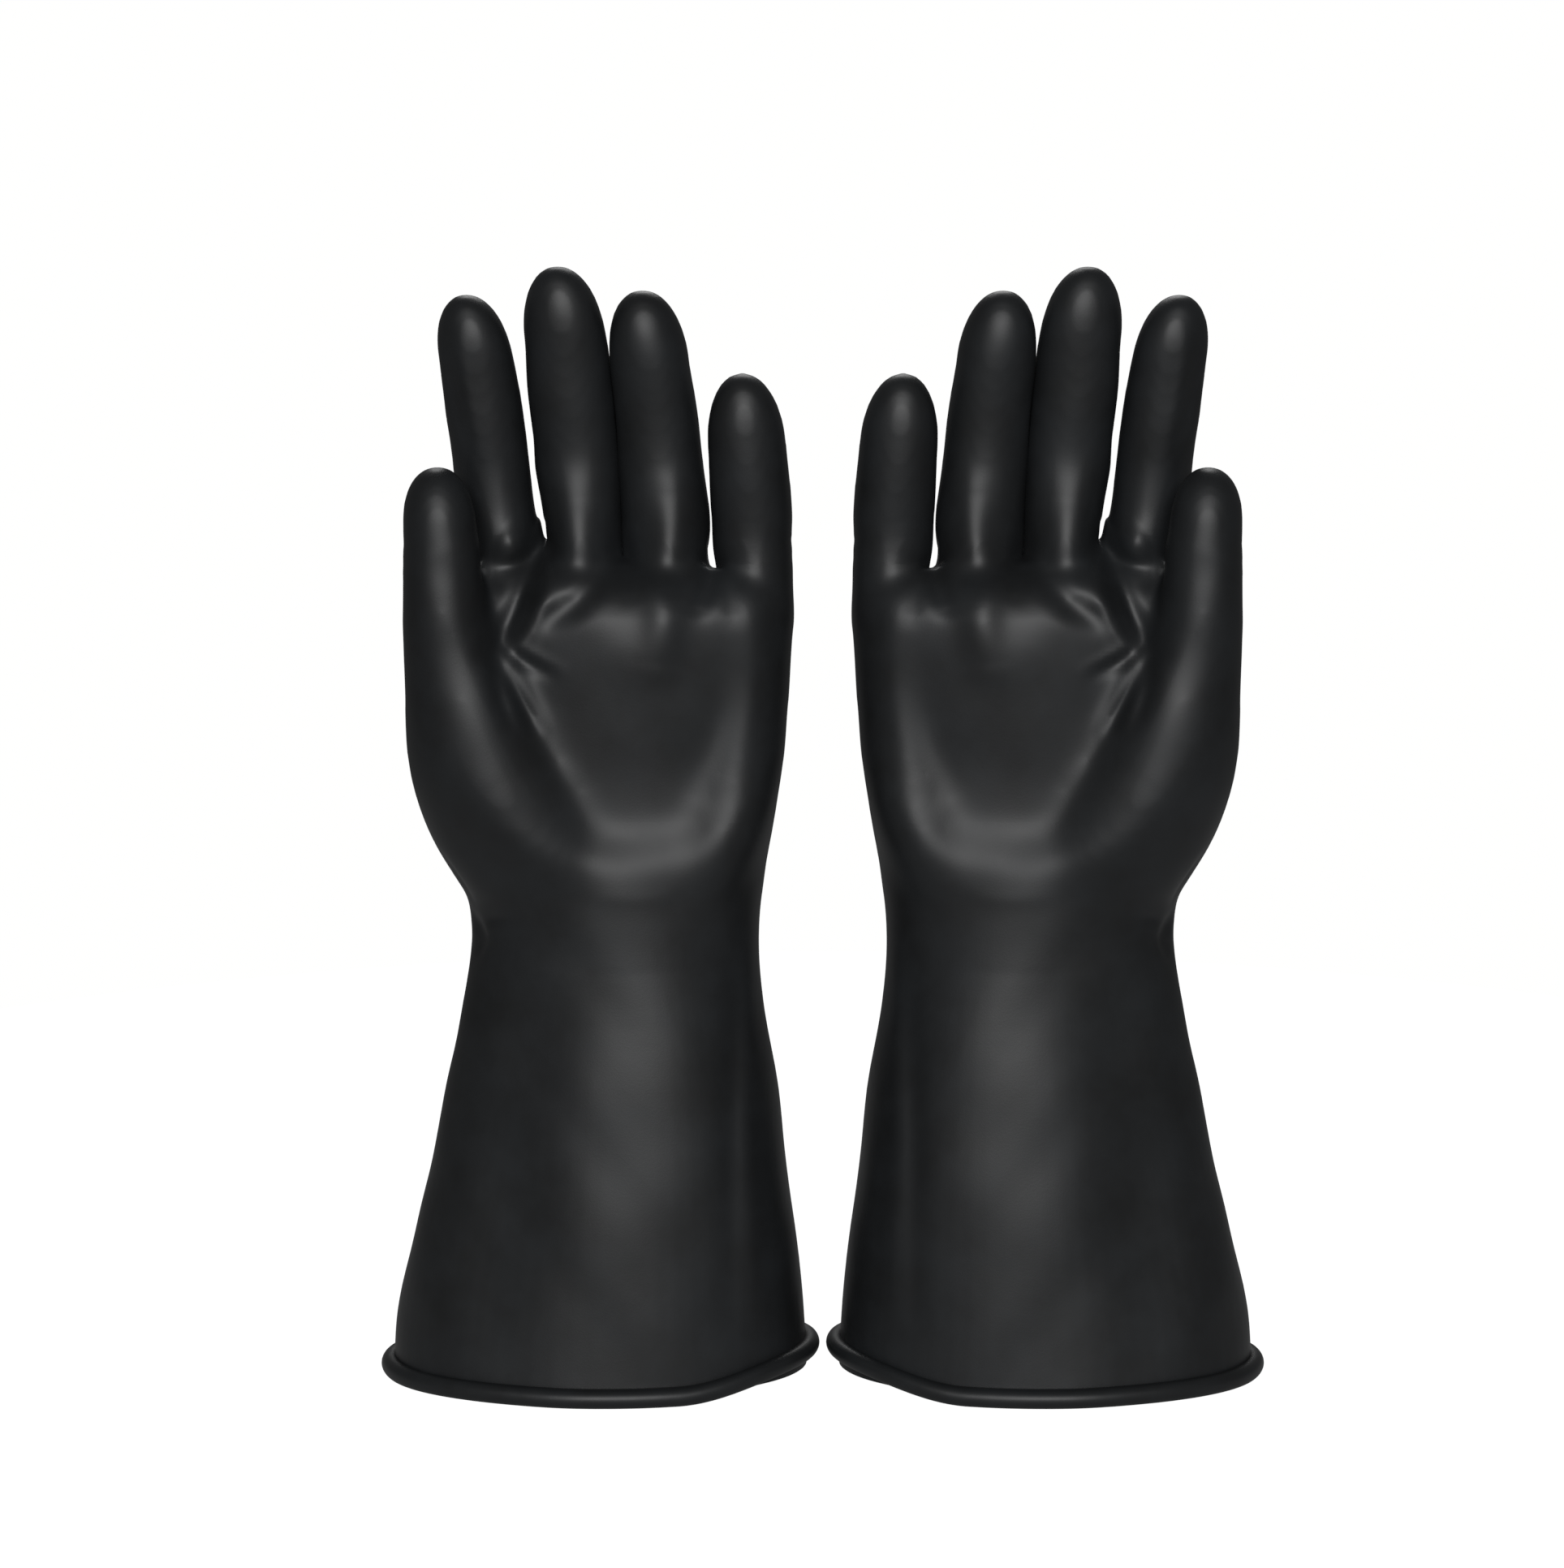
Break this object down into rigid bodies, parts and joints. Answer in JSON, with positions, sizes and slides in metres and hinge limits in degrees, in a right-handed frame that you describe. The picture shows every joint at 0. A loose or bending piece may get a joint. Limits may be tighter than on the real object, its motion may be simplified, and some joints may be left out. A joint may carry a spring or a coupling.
{
  "type": "pair of electrical insulating gloves",
  "caption": "Pair of black dipped-rubber electrical insulating gloves with flared gauntlets and rolled cuffs, standing fingers up, hinged at wrists, finger roots and finger creases.",
  "frame": {"origin": "under the middle of the pair, on the surface that the rolled cuffs stand on", "axes": "+Z towards the fingertips, +Y out of the backs of the hands, +X from the left glove to the right glove"},
  "size_m": [0.2758, 0.1, 0.3597],
  "materials": {
    "dipped_rubber": "satin, fine grained",
    "rolled_edge": "satin, smooth rolled"
  },
  "bodies": {
    "left_gauntlet": {"left_gauntlet": "dipped_rubber", "left_cuff_bead": "rolled_edge"},
    "left_hand": {"left_palm": "dipped_rubber", "left_knuckles": "dipped_rubber"},
    "left_thumb_base": {"left_thumb_base": "dipped_rubber"},
    "left_thumb_tip": {"left_thumb_tip": "dipped_rubber"},
    "left_index_base": {"left_index_base": "dipped_rubber"},
    "left_index_tip": {"left_index_tip": "dipped_rubber"},
    "left_middle_base": {"left_middle_base": "dipped_rubber"},
    "left_middle_tip": {"left_middle_tip": "dipped_rubber"},
    "left_ring_base": {"left_ring_base": "dipped_rubber"},
    "left_ring_tip": {"left_ring_tip": "dipped_rubber"},
    "left_little_base": {"left_little_base": "dipped_rubber"},
    "left_little_tip": {"left_little_tip": "dipped_rubber"},
    "right_gauntlet": {"right_gauntlet": "dipped_rubber", "right_cuff_bead": "rolled_edge"},
    "right_hand": {"right_palm": "dipped_rubber", "right_knuckles": "dipped_rubber"},
    "right_thumb_base": {"right_thumb_base": "dipped_rubber"},
    "right_thumb_tip": {"right_thumb_tip": "dipped_rubber"},
    "right_index_base": {"right_index_base": "dipped_rubber"},
    "right_index_tip": {"right_index_tip": "dipped_rubber"},
    "right_middle_base": {"right_middle_base": "dipped_rubber"},
    "right_middle_tip": {"right_middle_tip": "dipped_rubber"},
    "right_ring_base": {"right_ring_base": "dipped_rubber"},
    "right_ring_tip": {"right_ring_tip": "dipped_rubber"},
    "right_little_base": {"right_little_base": "dipped_rubber"},
    "right_little_tip": {"right_little_tip": "dipped_rubber"}
  },
  "joints": [
    {"name": "right_glove_apart", "type": "slide", "parent": "left_gauntlet", "child": "right_gauntlet", "axis": [1, 0, 0], "range_m": [0, 0.1]},
    {"name": "left_wrist", "type": "hinge", "parent": "left_gauntlet", "child": "left_hand", "pos_m": [-0.0661, -0.0295, 0.147], "axis": [1, 0, 0], "range_deg": [0, 60], "stiffness_Nm_per_rad": 2},
    {"name": "left_thumb_root", "type": "hinge", "parent": "left_hand", "child": "left_thumb_base", "pos_m": [-0.10514, -0.03112, 0.24398], "axis": [0, -0.9923, -0.124], "range_deg": [-35, 0], "stiffness_Nm_per_rad": 0.4},
    {"name": "left_thumb_crease", "type": "hinge", "parent": "left_thumb_base", "child": "left_thumb_tip", "pos_m": [-0.10784, -0.03421, 0.26865], "axis": [0, -0.9923, -0.124], "range_deg": [-50, 0], "stiffness_Nm_per_rad": 0.3},
    {"name": "left_index_root", "type": "hinge", "parent": "left_hand", "child": "left_index_base", "pos_m": [-0.10124, -0.01192, 0.27066], "axis": [0.9928, 0, 0.1194], "range_deg": [0, 40], "stiffness_Nm_per_rad": 0.4},
    {"name": "left_index_crease", "type": "hinge", "parent": "left_index_base", "child": "left_index_tip", "pos_m": [-0.10563, -0.01588, 0.30719], "axis": [0.9928, 0, 0.1194], "range_deg": [0, 85], "stiffness_Nm_per_rad": 0.3},
    {"name": "left_middle_root", "type": "hinge", "parent": "left_hand", "child": "left_middle_base", "pos_m": [-0.07527, -0.01071, 0.27153], "axis": [0.9963, 0, 0.0863], "range_deg": [0, 75], "stiffness_Nm_per_rad": 0.4},
    {"name": "left_middle_crease", "type": "hinge", "parent": "left_middle_base", "child": "left_middle_tip", "pos_m": [-0.07879, -0.01553, 0.3121], "axis": [0.9963, 0, 0.0863], "range_deg": [0, 85], "stiffness_Nm_per_rad": 0.3},
    {"name": "left_ring_root", "type": "hinge", "parent": "left_hand", "child": "left_ring_base", "pos_m": [-0.04938, -0.01131, 0.26851], "axis": [0.9968, 0, 0.0802], "range_deg": [0, 75], "stiffness_Nm_per_rad": 0.4},
    {"name": "left_ring_crease", "type": "hinge", "parent": "left_ring_base", "child": "left_ring_tip", "pos_m": [-0.05249, -0.01582, 0.30712], "axis": [0.9968, 0, 0.0802], "range_deg": [0, 85], "stiffness_Nm_per_rad": 0.3},
    {"name": "left_little_root", "type": "hinge", "parent": "left_hand", "child": "left_little_base", "pos_m": [-0.02212, -0.0133, 0.26045], "axis": [0.9987, 0, 0.0511], "range_deg": [0, 75], "stiffness_Nm_per_rad": 0.4},
    {"name": "left_little_crease", "type": "hinge", "parent": "left_little_base", "child": "left_little_tip", "pos_m": [-0.02364, -0.01682, 0.29021], "axis": [0.9987, 0, 0.0511], "range_deg": [0, 85], "stiffness_Nm_per_rad": 0.3},
    {"name": "right_wrist", "type": "hinge", "parent": "right_gauntlet", "child": "right_hand", "pos_m": [0.0661, -0.0295, 0.147], "axis": [1, 0, 0], "range_deg": [0, 60], "stiffness_Nm_per_rad": 2},
    {"name": "right_thumb_root", "type": "hinge", "parent": "right_hand", "child": "right_thumb_base", "pos_m": [0.10514, -0.03112, 0.24398], "axis": [0, 0.9923, 0.124], "range_deg": [-35, 0], "stiffness_Nm_per_rad": 0.4},
    {"name": "right_thumb_crease", "type": "hinge", "parent": "right_thumb_base", "child": "right_thumb_tip", "pos_m": [0.10784, -0.03421, 0.26865], "axis": [0, 0.9923, 0.124], "range_deg": [-50, 0], "stiffness_Nm_per_rad": 0.3},
    {"name": "right_index_root", "type": "hinge", "parent": "right_hand", "child": "right_index_base", "pos_m": [0.10124, -0.01192, 0.27066], "axis": [0.9928, 0, -0.1194], "range_deg": [0, 40], "stiffness_Nm_per_rad": 0.4},
    {"name": "right_index_crease", "type": "hinge", "parent": "right_index_base", "child": "right_index_tip", "pos_m": [0.10563, -0.01588, 0.30719], "axis": [0.9928, 0, -0.1194], "range_deg": [0, 85], "stiffness_Nm_per_rad": 0.3},
    {"name": "right_middle_root", "type": "hinge", "parent": "right_hand", "child": "right_middle_base", "pos_m": [0.07527, -0.01071, 0.27153], "axis": [0.9963, 0, -0.0863], "range_deg": [0, 75], "stiffness_Nm_per_rad": 0.4},
    {"name": "right_middle_crease", "type": "hinge", "parent": "right_middle_base", "child": "right_middle_tip", "pos_m": [0.07879, -0.01553, 0.3121], "axis": [0.9963, 0, -0.0863], "range_deg": [0, 85], "stiffness_Nm_per_rad": 0.3},
    {"name": "right_ring_root", "type": "hinge", "parent": "right_hand", "child": "right_ring_base", "pos_m": [0.04938, -0.01131, 0.26851], "axis": [0.9968, 0, -0.0802], "range_deg": [0, 75], "stiffness_Nm_per_rad": 0.4},
    {"name": "right_ring_crease", "type": "hinge", "parent": "right_ring_base", "child": "right_ring_tip", "pos_m": [0.05249, -0.01582, 0.30712], "axis": [0.9968, 0, -0.0802], "range_deg": [0, 85], "stiffness_Nm_per_rad": 0.3},
    {"name": "right_little_root", "type": "hinge", "parent": "right_hand", "child": "right_little_base", "pos_m": [0.02212, -0.0133, 0.26045], "axis": [0.9987, 0, -0.0511], "range_deg": [0, 75], "stiffness_Nm_per_rad": 0.4},
    {"name": "right_little_crease", "type": "hinge", "parent": "right_little_base", "child": "right_little_tip", "pos_m": [0.02364, -0.01682, 0.29021], "axis": [0.9987, 0, -0.0511], "range_deg": [0, 85], "stiffness_Nm_per_rad": 0.3}
  ]
}
